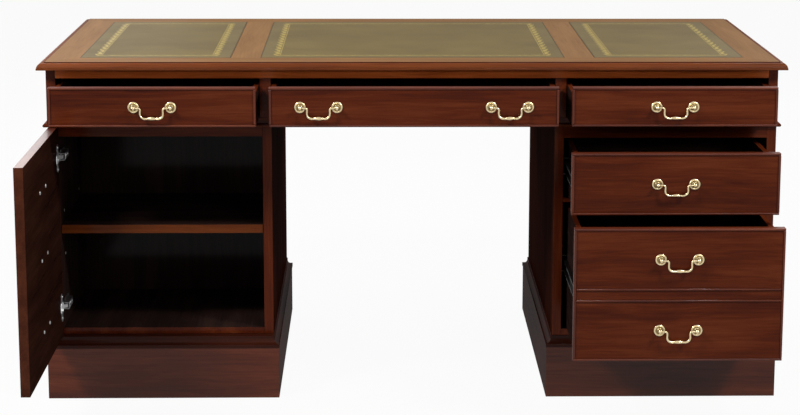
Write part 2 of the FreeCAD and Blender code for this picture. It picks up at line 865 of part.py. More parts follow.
def build_shelves():
    """One shelf in each cupboard, on four pegs."""
    shelf = board(
        "shelf",
        ("-shelf_end", "-shelf_inner"),
        ("-shelf_front", "-shelf_back"),
        ("shelf_low", "shelf_top"),
    )
    peg = new_body("peg")
    peg.Placement = FreeCAD.Placement(ORIGIN, ALONG_X)
    prism(peg, "peg_length", "rod_sides", "peg_radius", "peg_length")
    pegs = [
        group("placed_peg", [peg], x=x, y=y, z="peg_z")
        for x in ("-end_inner", "-bay_inner - peg_length")
        for y in ("peg_inset - shelf_front", "-shelf_back - peg_inset")
    ]
    for name, pieces in (("cupboard_shelves", [shelf]), ("shelf_pegs", pegs)):
        node(name, pieces + [group(f"rear_{name}", pieces, turn=str(HALF_TURN))])


# ---------------------------------------------------------------- handles


def build_rose():
    """A rose with its post, drawn about the pivot, with the pin's hole in the post's inner side."""
    body = new_body("rose")
    body.Placement = FreeCAD.Placement(ORIGIN, ALONG_FRONT)
    disc = prism(body, "rose_disc", "rose_sides", "rose_radius", "rose_thickness", "-pivot_out")
    rim = ["rose_thickness - pivot_out"]
    bevel(body, "rose_bevel", disc, rim, "rose_bevel_width", "rose_bevel_height")
    prism(body, "post", "rod_sides", "post_radius", "post_length", "-pivot_out")
    prism(body, "pin_hole", "rod_sides", "post_hole_radius", "post_radius", "0", True, ALONG_X)
    return body


def build_bail():
    """A bail hanging from its pivot line: pins, bent necks, bowed legs and a swelled grip."""
    half = [
        ("pin_end", "0"),
        ("bail_leg + bail_bend", "0"),
        ("bail_leg", "-bail_bend"),
        ("bail_out", "bail_corner - bail_drop"),
        ("bail_out - corner_step", "corner_step - bail_drop"),
        ("bail_out - bail_corner", "-bail_drop"),
    ]
    other_half = [(f"-({x})", z) for x, z in reversed(half)]
    path = doc.addObject("Sketcher::SketchObject", "bail_path")
    path.Placement = FreeCAD.Placement(ORIGIN, ALONG_FRONT)
    outline(path, half + other_half, closed=False)
    doc.recompute()

    swept = doc.addObject("Part::Sweep", "bail_rod")
    swept.Sections = [polygon("bail_section", "rod_sides", "rod_radius", ALONG_X, x="pin_end")]
    swept.Spine = (path, [f"Edge{i + 1}" for i in range(len(path.Shape.Edges))])
    swept.Solid = True
    swept.Transition = "Right corner"

    grip = new_body("grip")
    grip.Placement = FreeCAD.Placement(ORIGIN, ALONG_X)
    bind(grip, z="-bail_drop")
    low = "-grip_half_length"
    bar = prism(grip, "grip_bar", "rod_sides", "grip_radius", "2 * grip_half_length", low)
    ends = [low, "grip_half_length"]
    bevel(grip, "grip_taper", bar, ends, "grip_taper_width", "grip_taper_length")
    return fused("bail", swept, grip)


def build_handles():
    """Two roses and a bail for each handle, on every drawer and door of both sides."""
    rose = build_rose()
    bail = build_bail()
    across = VECTOR(0, 1, 0)
    pair = [
        group("left_rose", [rose], x="-half_spacing"),
        group("right_rose", [rose], axis=across, x="half_spacing", turn=str(HALF_TURN)),
    ]
    centres = {
        "frieze_left": {"bail": ("-side_front_centre", "frieze_handle_z")},
        "frieze_centre": {
            "left_bail": ("-centre_handle_offset", "frieze_handle_z"),
            "right_bail": ("centre_handle_offset", "frieze_handle_z"),
        },
        "frieze_right": {"bail": ("side_front_centre", "frieze_handle_z")},
        "upper": {"bail": ("bay_centre", "upper_handle_z")},
        "file": {
            "top_bail": ("bay_centre", "middle_handle_z"),
            "low_bail": ("bay_centre", "lower_handle_z"),
        },
    }
    for name, handles in centres.items():
        roses = [group("pair", pair, x=x, y="handle_y", z=z) for x, z in handles.values()]
        for side in ("front", "rear"):
            out = DRAWER_OUT[name] if side == "front" else "0"
            node(f"{side}_{name}_roses", roses, **facing(side, y=f"-{out}"))
            for handle, (x, z) in handles.items():
                place = facing(side, x, f"handle_y - {out}", z)
                node(f"{side}_{name}_{handle}", [bail], **place)

    door_heights = {
        "top_bail": "upper_handle_z",
        "middle_bail": "middle_handle_z",
        "low_bail": "lower_handle_z",
    }
    shut = {z: {"x": "-bay_centre", "y": "handle_y", "z": z} for z in door_heights.values()}
    roses = [group("pair", pair, **place) for place in shut.values()]
    node("front_door_roses", roses, **about_pole("door_opening"))
    node("rear_door_roses", roses, turn=str(HALF_TURN))
    for handle, z in door_heights.items():
        hung = [group("door_bail", [bail], **shut[z])]
        node(f"front_door_{handle}", hung, **about_pole("door_opening"))
        node(f"rear_door_{handle}", hung, turn=str(HALF_TURN))


# ---------------------------------------------------------------- the whole desk


def check_document():
    """Stop when a feature failed or a sub-part is not made of sound solids."""
    for thing in doc.Objects:
        if {"Invalid", "Error"} & set(thing.State):
            raise RuntimeError(f"{thing.Name} ({thing.Label}) failed: {thing.State}")
    for part in nodes:
        shape = part.Shape
        if shape.isNull() or not shape.isValid() or not shape.Solids:
            raise RuntimeError(f"{part.Label} has no sound solid")


def write_parts():
    os.makedirs("parts", exist_ok=True)
    for part in nodes:
        Part.makeCompound(part.Shape.Solids).exportStep(f"parts/{part.Label}.step")


build_top()
build_leather()
build_frieze()
build_waist_moulding()
build_pedestals()
build_plinths()
build_drawers()
build_runners()
build_doors()
build_hinges()
build_shelves()
build_handles()
doc.recompute()
check_document()
write_parts()
print(f"{len(nodes)} sub-parts, {sum(len(part.Shape.Solids) for part in nodes)} solids")
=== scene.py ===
import json
import math

import bmesh
import bpy
from mathutils import Matrix, Vector

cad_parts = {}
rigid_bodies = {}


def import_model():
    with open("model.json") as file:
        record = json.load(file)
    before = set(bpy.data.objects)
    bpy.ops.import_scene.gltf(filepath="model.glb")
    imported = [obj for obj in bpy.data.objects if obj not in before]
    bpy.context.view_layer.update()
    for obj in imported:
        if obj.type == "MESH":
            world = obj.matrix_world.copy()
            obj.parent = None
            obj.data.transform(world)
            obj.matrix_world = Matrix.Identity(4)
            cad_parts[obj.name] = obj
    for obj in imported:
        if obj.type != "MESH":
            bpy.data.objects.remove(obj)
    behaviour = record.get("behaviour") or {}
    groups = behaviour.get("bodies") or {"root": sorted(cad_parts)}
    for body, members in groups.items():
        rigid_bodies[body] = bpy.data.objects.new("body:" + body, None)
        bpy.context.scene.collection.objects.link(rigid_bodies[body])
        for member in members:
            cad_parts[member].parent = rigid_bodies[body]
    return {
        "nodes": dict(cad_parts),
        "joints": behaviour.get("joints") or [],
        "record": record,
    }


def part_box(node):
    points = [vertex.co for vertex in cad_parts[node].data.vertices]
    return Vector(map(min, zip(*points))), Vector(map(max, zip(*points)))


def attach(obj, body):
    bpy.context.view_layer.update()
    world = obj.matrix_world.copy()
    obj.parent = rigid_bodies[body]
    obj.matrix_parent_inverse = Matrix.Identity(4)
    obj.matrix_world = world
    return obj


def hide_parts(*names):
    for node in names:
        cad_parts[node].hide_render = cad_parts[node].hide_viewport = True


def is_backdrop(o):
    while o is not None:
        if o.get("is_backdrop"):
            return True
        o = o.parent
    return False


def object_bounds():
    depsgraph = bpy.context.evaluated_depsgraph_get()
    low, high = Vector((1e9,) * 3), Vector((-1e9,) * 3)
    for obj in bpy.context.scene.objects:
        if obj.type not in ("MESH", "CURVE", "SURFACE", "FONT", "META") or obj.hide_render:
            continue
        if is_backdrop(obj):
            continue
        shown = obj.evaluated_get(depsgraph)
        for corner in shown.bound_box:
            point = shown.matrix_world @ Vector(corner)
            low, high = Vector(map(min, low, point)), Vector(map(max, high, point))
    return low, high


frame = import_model()
cad_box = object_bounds()

MM = 0.001
NODES = frame["nodes"]
BODY_OF = {n: body for body, names in frame["record"]["behaviour"]["bodies"].items() for n in names}
SLOT_OF = {row["node"]: row["material_slot"] for row in frame["record"]["subparts"]}

# Leather insets in millimetres: the wood between them along X, the gilt roll and the seam.
RAIL_INNER = 344.8
RAIL_OUTER = 411.2
GILT_INSET = 27.5
GILT_WIDTH = 17.0
LEAF_PITCH = 42.0
SEAM = 3.0
# Across the gilt roll, as shares of its width: the leaves' reach and end, the line, and where the
# paler margin of the hide ends. Then the veins' slant, and the level of a wave that draws them.
LEAF_REACH = 0.4
LEAF_END = 0.8
GILT_LINE = (0.9, 1.0)
MARGIN_END = 0.5
VEIN_SLANT = 4.2
VEIN_LEVEL = -0.72

# The top panel's outer size, level field, mitred border and joints, in millimetres.
TOP_HALF = (838.0, 419.0)
TOP_FIELD_Z = 775.4
BORDER_DEPTH = 332.0
JOINT_WIDTH = 0.6
QUIRK = (14.8, 18.2)
QUIRK_FOOT = 774.0

# Wooden pieces: sizes in millimetres, angles in radians, tones as factors of a colour, and the
# shares of a face's normal that make it square or sideways to an axis.
PLACE_DIGITS = 7
FLAT_ANGLE = math.radians(1.0)
EDGE_ANGLE = math.radians(25.0)
BEAD_THICKNESS = 6.0
BEAD_ROUND = 1.9
EDGE_ROUND = 0.8
SHORT_EDGE = 4.0
UPRIGHT_HEIGHT = 400.0
GRAIN_SHIFT = 3.7
DRAWER_BOX = range(5, 9)
DOOR_THICKNESS = 20.0
FRONT_THICKNESS = 19.0
INNER_WAYS = {"front_door": Vector((1, 0, 0)), "rear_door": Vector((0, -1, 0))}
KNEEHOLE_HALF = 325.0
CASE_FACE = 393.0
CAP_FOOT = 119.0
RAIL_FOOT = 738.0
RAIL_SLACK = 1.0
BEVEL_SEGMENTS = 3
SQUARE = 0.9
SIDEWAYS = 0.3
# Painted light: the front rail under the top, in the lamps' shadow, is painted this much lighter.
# The rear one is not.
RAIL_PAINTED_LIGHT = 4.2
TONE_LOW = 0.94
TONE_SPREAD = 0.12
# Steps by a board's number and the length of its node's name, so that the boards of a piece differ.
TONE_STEPS = (0.37, 0.13)
GRAIN_NAME_STEP = 9
# Spaces whose walls are painted dark with shade, as bounds of |x|, |y| and z:
# a pedestal's bay, and the frieze's inside.
PAINTED_SHADE_SPACES = (
    ((339.9, 799.1), (5.9, 366.9), (157.9, 613.1)),
    ((0.0, 799.1), (5.9, 373.9), (648.9, 738.1)),
)

# Handles in millimetres: a rose's (radius, height, patina) rings and half a bail's (x, z, radius).
ROSE_TURNS = 40
ROSE_SPACING = 81.0
PIVOT_OUT = 13.0
ROSE_PROFILE = (
    (12.75, 0.0, 0.0), (12.75, 1.1, 0.0), (12.3, 2.2, 0.0), (11.2, 3.0, 0.0), (9.8, 3.2, 0.0),
    (8.5, 2.7, 0.25), (7.4, 1.7, 0.9), (6.6, 1.4, 1.0), (5.8, 1.8, 0.9), (5.0, 3.0, 0.5),
    (3.9, 4.2, 0.3), (3.5, 6.4, 0.3), (3.9, 8.6, 0.1), (4.7, 10.6, 0.0), (5.0, 12.7, 0.0),
    (4.6, 14.8, 0.0), (3.2, 16.5, 0.0), (1.6, 17.3, 0.0), (0.0, 17.5, 0.0),
)
BAIL_HALF = (
    (38.5, 0.0, 1.9), (31.5, 0.0, 2.1), (27.6, -0.3, 2.3), (25.3, -2.4, 2.3), (24.8, -7.5, 2.3),
    (25.0, -12.5, 2.4), (23.9, -17.4, 2.55), (20.6, -21.2, 2.65), (15.6, -23.1, 2.6),
    (11.8, -23.3, 2.2), (10.4, -23.2, 3.0), (9.0, -23.0, 2.5), (6.0, -22.7, 3.4),
    (0.0, -22.5, 4.1),
)
BAIL_FACETS = 4
BAIL_STEPS = 6

# Steel parts in millimetres, turned ones as (radius, height, patina) rings.
SCREW_TURNS = 20
SCREW_PROFILE = (
    (4.2, 0.0, 0.0), (4.2, 0.7, 0.0), (3.4, 1.6, 0.0), (1.9, 2.1, 0.0), (1.4, 0.9, 1.0), (0.0, 0.8, 1.0),
)
SMALL_SCREW_PROFILE = (
    (3.2, 0.0, 0.0), (3.2, 0.5, 0.0), (2.4, 1.1, 0.0), (1.1, 1.2, 0.0), (0.9, 0.4, 1.0), (0.0, 0.4, 1.0),
)
SOCKET_PROFILE = (
    (3.4, 0.0, 0.0), (3.4, 0.5, 0.0), (2.9, 0.8, 0.0), (2.4, 0.5, 0.0), (2.2, 0.1, 1.0), (0.0, 0.1, 1.0),
)
CUP_PROFILE = (
    (17.45, -12.7, 0.0), (17.45, 1.2, 0.0), (17.2, 1.6, 0.0), (16.8, 1.6, 0.0), (16.5, 1.2, 0.2),
    (16.5, -11.75, 1.0), (0.0, -11.8, 1.0),
)
HINGE_HEIGHTS = (213.0, 558.0)
CUP_PLACES = {"front": (-798.0, -401.0, 90.0), "rear": (797.0, 374.0, 0.0)}
FLANGE_THICKNESS = 1.6
FLANGE_END = (25.5, 7.5)
FLANGE_ROOT = ((-7.5, 15.3), (-4.0, 16.6), (0.0, 17.0), (4.0, 16.6), (7.5, 15.3))
FLANGE_SCREW = 25.0
FLANGE_STEPS = 8
ARM_FOOT = (-799.0, -350.0)
ARM_BASE = (-2.0, 52.0, 9.0, 3.0)
ARM_CHEEK = (-34.0, 29.0, 6.6, 8.0)
ARM_OUT = (2.5, 15.0)
ARM_WEB = (-16.0, 29.0, 13.0, 15.0)
ARM_SCREWS = ((-2.0, 15.0), (16.0, 15.0), (43.0, 3.0))
RUNNER_HEIGHTS = {"upper": 532.5, "file": 306.0}
RUNNER_ENDS = (23.0, 380.0)
RUNNER_WALLS = (353.0, 786.0)
RUNNER_SECTION = (
    (0, -12), (0, 12), (-9, 12), (-9, 10.8), (-1.2, 10.8), (-1.2, -10.8), (-9, -10.8), (-9, -12),
)
SOCKET_WALLS = ((-799.0, 90.0), (-340.0, -90.0))
SOCKET_DEPTHS = (-312.0, -62.0)
SOCKET_HEIGHTS = (320.0, 421.0)

# Floor, lights and camera in metres and degrees: softboxes as (name, place, target, size, watts).
FLOOR_HALF = 12.0
FLOOR_DROP = -0.0005
FLOOR_GLOW = 0.95
FLOOR_COLOUR = (0.45, 0.45, 0.45, 1.0)
FLOOR_ROUGHNESS = 0.9
WORLD_LEVEL = 0.2
SOFTBOXES = (
    ("key_left", (-2.0, -1.8, 2.5), (-0.2, -0.2, 0.4), (0.5, 0.5), 66),
    ("key_right", (2.0, -1.8, 2.5), (0.2, -0.2, 0.4), (0.5, 0.5), 58),
    ("fill_left", (-1.9, -3.9, 1.7), (0.0, 0.0, 0.5), (0.8, 0.5), 8),
    ("fill_right", (1.9, -3.9, 1.7), (0.0, 0.0, 0.5), (0.8, 0.5), 14),
    ("overhead", (-1.6, -0.1, 2.2), (-0.7, 0.0, 0.7), (1.2, 0.8), 18),
    ("glow_left", (-1.6, 3.3, 1.4), (-0.8, 0.0, 0.7), (1.6, 1.6), 9),
    ("side", (3.4, 0.6, 1.8), (0.0, 0.0, 0.4), (1.2, 1.2), 20),
    ("rear_left", (-2.4, 3.4, 2.6), (0.0, 0.0, 0.4), (1.6, 1.2), 60),
    ("rear_right", (2.4, 3.4, 2.6), (0.0, 0.0, 0.4), (1.6, 1.2), 60),
)
CAMERA_LENS = 98.2
CAMERA_SHIFT = (-0.03, -0.03)
CAMERA_PLACE = (-0.085, -5.231, 1.454)
CAMERA_TURN = (11.18, -1.30, 0.16)
CAMERA_REACH = 100.0


# ---------------------------------------------------------------- materials


class Graph:
    """A material whose nodes are made by calls that give back output sockets."""

    def __init__(self, name, **surface):
        self.material = bpy.data.materials.new(name)
        self.material.use_nodes = True
        self.tree = self.material.node_tree
        self.shader = self.tree.nodes["Principled BSDF"]
        self.set(**surface)

    def set(self, **surface):
        """Set or link sockets of the shader: base_color, roughness and so on."""
        sockets = {s.name.lower().replace(" ", "_"): s for s in self.shader.inputs}
        for name, value in surface.items():
            self.feed(sockets[name], value)
        return self.material

    def feed(self, socket, value):
        if isinstance(value, bpy.types.NodeSocket):
            self.tree.links.new(value, socket)
        else:
            socket.default_value = value

    def node(self, kind, inputs=None, **settings):
        made = self.tree.nodes.new(kind)
        for name, value in settings.items():
            setattr(made, name, value)
        for name, value in (inputs or {}).items():
            self.feed(made.inputs[name], value)
        return made

    def math(self, operation, *values, clamp=False):
        inputs = dict(enumerate(values))
        return self.node("ShaderNodeMath", inputs, operation=operation, use_clamp=clamp).outputs[0]

    def attribute(self, name, output="Vector"):
        return self.node("ShaderNodeAttribute", attribute_name=name).outputs[output]

    def place(self):
        """The position in the frame, which is the object's own space."""
        return self.node("ShaderNodeTexCoord").outputs["Object"]

    def axes(self, vector):
        return self.node("ShaderNodeSeparateXYZ", {"Vector": vector}).outputs

    def vector(self, x, y, z):
        return self.node("ShaderNodeCombineXYZ", {"X": x, "Y": y, "Z": z}).outputs[0]

    def grey(self, value):
        inputs = {"Red": value, "Green": value, "Blue": value}
        return self.node("ShaderNodeCombineColor", inputs).outputs[0]

    def scaled(self, vector, along, across):
        inputs = {0: vector, 1: (along, across, across)}
        return self.node("ShaderNodeVectorMath", inputs, operation="MULTIPLY").outputs[0]

    def noise(self, vector, scale=1.0, detail=3.0, roughness=0.5):
        inputs = {"Vector": vector, "Scale": scale, "Detail": detail, "Roughness": roughness}
        return self.node("ShaderNodeTexNoise", inputs).outputs["Fac"]

    def ramp(self, factor, *stops):
        """A colour ramp through (position, colour) stops."""
        made = self.node("ShaderNodeValToRGB", {"Fac": factor})
        points = made.color_ramp.elements
        while len(points) < len(stops):
            points.new(0.5)
        for point, (position, colour) in zip(points, stops):
            point.position = position
            point.color = (*colour, 1.0)
        return made.outputs["Color"]

    def band(self, value, low, high):
        """1 where a value is between two bounds."""
        above = self.math("GREATER_THAN", value, low)
        return self.math("MULTIPLY", above, self.math("LESS_THAN", value, high))

    def choose(self, factor, first, second):
        """The first vector where the factor is 0, and the second where it is 1."""
        inputs = {"Factor": factor, 4: first, 5: second}
        return self.node("ShaderNodeMix", inputs, data_type="VECTOR").outputs[1]

    def mix(self, factor, first, second, blend="MIX"):
        made = self.node("ShaderNodeMix", {"Factor": factor}, data_type="RGBA", blend_type=blend)
        for socket, colour in ((made.inputs[6], first), (made.inputs[7], second)):
            self.feed(socket, colour if isinstance(colour, bpy.types.NodeSocket) else (*colour, 1.0))
        return made.outputs[2]

    def bump(self, height, distance, strength=1.0):
        inputs = {"Height": height, "Distance": distance, "Strength": strength}
        return self.node("ShaderNodeBump", inputs).outputs["Normal"]


POLISH = {"specular_ior_level": 0.0, "coat_weight": 0.05, "coat_roughness": 0.12, "coat_ior": 1.9}
TOP_POLISH = {**POLISH, "coat_weight": 0.11, "coat_roughness": 0.3}
DULL_POLISH = {**POLISH, "coat_weight": 0.003}
PLINTH_POLISH = {**POLISH, "coat_weight": 0.06, "coat_roughness": 0.2}
BEAD_POLISH = {**POLISH, "coat_weight": 0.22, "coat_roughness": 0.25}
SHEEN_POLISH = {**POLISH, "coat_weight": 0.35, "coat_roughness": 0.35}
DOOR_TOP_POLISH = {**POLISH, "coat_weight": 0.8, "coat_roughness": 0.3}
FOOT_POLISH = {**POLISH, "coat_weight": 0.18}
REDS = ((0.043, 0.0063, 0.0026), (0.081, 0.0137, 0.0038), (0.124, 0.0255, 0.0075))
# The top's pale colour, partly a painted sheen in its green and blue.
TOP_FADED_AND_SHEEN = ((0.155, 0.071, 0.024), (0.19, 0.090, 0.031), (0.225, 0.110, 0.039))
# A lighter shade for the top's moulded edge; on the front rail and the shelves' front edges it is
# painted light.
EDGE_AND_PAINTED_LIGHT = ((0.066, 0.0142, 0.0032), (0.113, 0.0257, 0.0052), (0.160, 0.0390, 0.0084))
# Painted shade: near-black wood for the insides of the bays, the frieze and the drawers.
INSIDE_PAINTED_SHADE = ((0.012, 0.0068, 0.0056), (0.021, 0.0110, 0.0088), (0.033, 0.0165, 0.0128))
# The doors' edges, darker than the fronts.
DOOR_EDGE_DARKER = ((0.035, 0.0080, 0.0030), (0.060, 0.0140, 0.0055), (0.085, 0.0220, 0.0085))
# Painted sheen: the top's crossed boards are made paler and bluer.
CROSSED_PAINTED_SHEEN = (1.05, 1.12, 1.22)
# Painted shade: near-black mahogany for the kneehole's sides and the plinths' caps.
PAINTED_SHADE_REDS = ((0.016, 0.0036, 0.0020), (0.028, 0.0062, 0.0032), (0.043, 0.0102, 0.0050))
# Painted shade: a dark brown for the doors' inner faces.
DOOR_BACK_PAINTED_SHADE = ((0.013, 0.0046, 0.0030), (0.023, 0.0078, 0.0048), (0.036, 0.0125, 0.0076))
HIDE = ((0.094, 0.065, 0.0195), (0.124, 0.0875, 0.0265))
MARGIN_TINT = (1.02, 1.06, 1.25)
GILT = (0.285, 0.205, 0.032)
SEAM_COLOUR = (0.065, 0.040, 0.012)

# Wood figure: each noise's scale along the grain and across it, and what it adds.
SWAY_GRAIN = (2.5, 7.0)
SWAY = 0.03
PATCH_GRAIN = (2.6, 24.0)
PATCH_SHARE = 0.58
STREAK_GRAIN = (7.0, 210.0)
STREAK_SHARE = 0.42
PORE_GRAIN = (55.0, 1700.0)
PORE_LEVEL = 0.57
PORE_BUMP = (0.00004, 0.4)
SHADE_STOPS = (0.34, 0.5, 0.66)
# How strongly the top's joints and the painted shade in its quirk are drawn, and how far its crossed
# boards' figure is moved.
JOINT_SHARE = 0.45
QUIRK_PAINTED_SHADE = 0.8
OFF_CENTRE = 1.7

# Gilt and hide: where the gilt is rubbed away, its strength along the front and back, and the hide.
WEAR_SCALE = 700.0
WEAR_LEVEL = 0.4
FRONT_GILT = 0.7
HIDE_SCALE = 7.0
HIDE_GRAIN = 700.0
HIDE_STOPS = (0.3, 0.7)
HIDE_BUMP = (0.00008, 0.6)
HIDE_ROUGHNESS = 0.5
GILT_POLISH = 0.12

# Metal: how far the cloud and the patina change its colour and roughness.
CLOUD_TINT = 0.3
CLOUD_SHADE = 0.7
CLOUD_ROUGHNESS = 0.12
PATINA_TINT = 0.85
PATINA_ROUGHNESS = 0.25


def figured(g, grain, dark, middle, light):
    """Wood's colour from its grain: soft patches, fine streaks and pores drawn out along it."""
    sway = g.noise(g.scaled(grain, *SWAY_GRAIN), detail=2.0)
    bend = g.math("MULTIPLY", g.math("SUBTRACT", sway, 0.5), SWAY)
    inputs = {0: grain, 1: g.vector(0.0, bend, bend)}
    lines = g.node("ShaderNodeVectorMath", inputs, operation="ADD").outputs[0]
    patches = g.noise(g.scaled(lines, *PATCH_GRAIN), detail=3.0, roughness=0.55)
    streaks = g.noise(g.scaled(lines, *STREAK_GRAIN), detail=4.0, roughness=0.65)
    pores = g.noise(g.scaled(lines, *PORE_GRAIN), detail=2.0)
    patches = g.math("MULTIPLY", patches, PATCH_SHARE)
    figure = g.math("ADD", patches, g.math("MULTIPLY", streaks, STREAK_SHARE))
    colour = g.ramp(figure, *zip(SHADE_STOPS, (dark, middle, light)))
    speck = g.math("MULTIPLY", g.math("SUBTRACT", pores, PORE_LEVEL, clamp=True), 3.0, clamp=True)
    return g.mix(g.math("MULTIPLY", speck, 0.5), colour, dark), pores


def wood(name, shades, roughness, polish=POLISH):
    """French-polished boards whose grain is written to their corners."""
    g = Graph(name, roughness=roughness, **polish)
    colour, pores = figured(g, g.attribute("grain"), *shades)
    # Each board's factor, which on the front rail under the top is painted light.
    colour = g.mix(1.0, colour, g.grey(g.attribute("tone_and_painted_light", "Fac")), "MULTIPLY")
    return g.set(base_color=colour, normal=g.bump(pores, *PORE_BUMP))


def top_wood():
    """The top's boards: grain along its front and back, across its ends and between the leathers."""
    g = Graph("top_mahogany", roughness=0.35, **TOP_POLISH)
    place = g.place()
    x, y, z = g.axes(place)
    away_x = g.math("ABSOLUTE", x)
    away_y = g.math("ABSOLUTE", y)
    from_end = g.math("SUBTRACT", TOP_HALF[0] * MM, away_x)
    from_front = g.math("SUBTRACT", TOP_HALF[1] * MM, away_y)
    rail = g.band(away_x, RAIL_INNER * MM, RAIL_OUTER * MM)
    rail = g.math("MULTIPLY", rail, g.math("LESS_THAN", away_y, BORDER_DEPTH * MM))
    crossed = g.math("MAXIMUM", g.math("LESS_THAN", from_end, from_front), rail)
    grain = g.choose(crossed, place, g.vector(y, g.math("ADD", x, OFF_CENTRE), z))
    top_colour_and_sheen, pores = figured(g, grain, *TOP_FADED_AND_SHEEN)
    # Painted sheen: the crossed boards are made paler and bluer.
    top_colour_and_sheen = g.mix(crossed, top_colour_and_sheen, g.mix(1.0, top_colour_and_sheen, CROSSED_PAINTED_SHEEN, "MULTIPLY"))
    edge, _ = figured(g, grain, *EDGE_AND_PAINTED_LIGHT)
    mitre = g.math("ABSOLUTE", g.math("SUBTRACT", from_end, from_front))
    colour = g.mix(g.math("GREATER_THAN", z, TOP_FIELD_Z * MM), edge, top_colour_and_sheen)
    joint = g.math("LESS_THAN", mitre, JOINT_WIDTH * MM)
    colour = g.mix(g.math("MULTIPLY", joint, JOINT_SHARE), colour, REDS[0])
    # Painted shade: a dark line in the quirk round the top's level field.
    rim = g.band(g.math("MINIMUM", from_end, from_front), *(d * MM for d in QUIRK))
    rim = g.math("MULTIPLY", rim, g.math("GREATER_THAN", z, QUIRK_FOOT * MM))
    colour = g.mix(g.math("MULTIPLY", rim, QUIRK_PAINTED_SHADE), colour, REDS[0])
    return g.set(base_color=colour, normal=g.bump(pores, *PORE_BUMP))


def leather():
    """Olive hide with a fine grain, a gilt leaf roll and line, and a dark seam round each inset."""
    g = Graph("leather", specular_ior_level=0.02, ior=1.5)
    x, y, _ = g.axes(g.place())
    away_x = g.math("ABSOLUTE", x)
    away_y = g.math("ABSOLUTE", y)
    _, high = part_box("leather_insets")
    middle_edge = g.math("SUBTRACT", RAIL_INNER * MM, away_x)
    end_inner = g.math("SUBTRACT", away_x, RAIL_OUTER * MM)
    end_edge = g.math("MINIMUM", end_inner, g.math("SUBTRACT", high.x, away_x))
    from_side = g.math("MAXIMUM", middle_edge, end_edge)
    from_front = g.math("SUBTRACT", high.y, away_y)
    depth = g.math("MINIMUM", from_side, from_front)
    beside = g.math("LESS_THAN", from_side, from_front)
    run = g.node("ShaderNodeMix", {"Factor": beside, 2: x, 3: y}).outputs[0]

    within = g.math("DIVIDE", g.math("SUBTRACT", depth, GILT_INSET * MM), GILT_WIDTH * MM)
    turn = g.math("MULTIPLY", run, math.pi / (LEAF_PITCH * MM))
    lobe = g.math("ABSOLUTE", g.math("SINE", turn))
    reach = g.math("SUBTRACT", LEAF_REACH, g.math("MULTIPLY", lobe, LEAF_REACH))
    tip = g.math("GREATER_THAN", within, reach)
    curl = g.math("ADD", g.math("MULTIPLY", turn, 2.0), g.math("MULTIPLY", within, VEIN_SLANT))
    vein = g.math("GREATER_THAN", g.math("SINE", curl), VEIN_LEVEL)
    leaf = g.math("MULTIPLY", g.math("MULTIPLY", g.math("LESS_THAN", within, LEAF_END), tip), vein)
    gilt = g.math("MAXIMUM", leaf, g.band(within, *GILT_LINE))
    worn = g.noise(g.place(), WEAR_SCALE, 2.0)
    gilt = g.math("MULTIPLY", gilt, g.math("GREATER_THAN", worn, WEAR_LEVEL))
    gilt = g.math("MULTIPLY", gilt, g.math("MULTIPLY_ADD", beside, 1.0 - FRONT_GILT, FRONT_GILT))

    cloud = g.noise(g.place(), HIDE_SCALE, 4.0)
    hide = g.ramp(cloud, *zip(HIDE_STOPS, HIDE))
    margin = g.mix(1.0, hide, MARGIN_TINT, "MULTIPLY")
    colour = g.mix(g.math("LESS_THAN", within, MARGIN_END), hide, margin)
    colour = g.mix(gilt, colour, GILT)
    colour = g.mix(g.math("LESS_THAN", depth, SEAM * MM), colour, SEAM_COLOUR)
    fine = g.node("ShaderNodeTexVoronoi", {"Vector": g.place(), "Scale": HIDE_GRAIN}).outputs["Distance"]
    rough = g.math("SUBTRACT", HIDE_ROUGHNESS, g.math("MULTIPLY", gilt, GILT_POLISH))
    g.set(base_color=colour, roughness=rough)
    return g.set(normal=g.bump(fine, *HIDE_BUMP))


def metal(name, colour, patina, roughness, scale):
    """Metal with faint uneven polish, and darker where its patina is written to its corners."""
    g = Graph(name, metallic=1.0)
    cloud = g.noise(g.place(), scale, 3.0)
    tint = g.mix(g.math("MULTIPLY", cloud, CLOUD_TINT), colour, [CLOUD_SHADE * c for c in colour])
    old = g.attribute("patina", "Fac")
    tint = g.mix(g.math("MULTIPLY", old, PATINA_TINT), tint, patina)
    rough = g.math("ADD", roughness, g.math("MULTIPLY", cloud, CLOUD_ROUGHNESS))
    rough = g.math("ADD", rough, g.math("MULTIPLY", old, PATINA_ROUGHNESS))
    return g.set(base_color=tint, roughness=rough)


# The finishes of wooden faces, in the order of a piece's material slots.
WOODS = {
    "outside": wood("mahogany", REDS, 0.35),
    # Painted shade: the insides.
    "lining": wood("stained_lining", INSIDE_PAINTED_SHADE, 0.5),
    # Painted shade: the doors' inner faces.
    "door_back": wood("stained_door", DOOR_BACK_PAINTED_SHADE, 0.45),
    # Painted shade: the pedestals' kneehole sides.
    "kneehole": wood("mahogany_kneehole", PAINTED_SHADE_REDS, 0.4, DULL_POLISH),
    "bead": wood("mahogany_beads", REDS, 0.3, BEAD_POLISH),
    "plinth": wood("mahogany_foot", REDS, 0.35, FOOT_POLISH),
    # The doors' edges, drawn darker.
    "door_edge": wood("mahogany_edge_band", DOOR_EDGE_DARKER, 0.4),
    # Painted light: the front rail under the top and the shelves' front edges.
    "rail": wood("mahogany_rail", EDGE_AND_PAINTED_LIGHT, 0.35),
    "front_top": wood("mahogany_sheen", REDS, 0.35, SHEEN_POLISH),
    # Painted shade: the plinths' kneehole sides and caps.
    "plinth_shade": wood("mahogany_kneehole_foot", PAINTED_SHADE_REDS, 0.4, PLINTH_POLISH),
    "door_top": wood("mahogany_door_top", REDS, 0.35, DOOR_TOP_POLISH),
}
FINISHES = list(WOODS)
TOP_WOOD = top_wood()
LEATHER = leather()
BRASS = metal("brass", (0.70, 0.57, 0.34), (0.13, 0.10, 0.04), 0.22, 60.0)
STEEL = metal("steel", (0.62, 0.62, 0.62), (0.1, 0.1, 0.1), 0.24, 90.0)
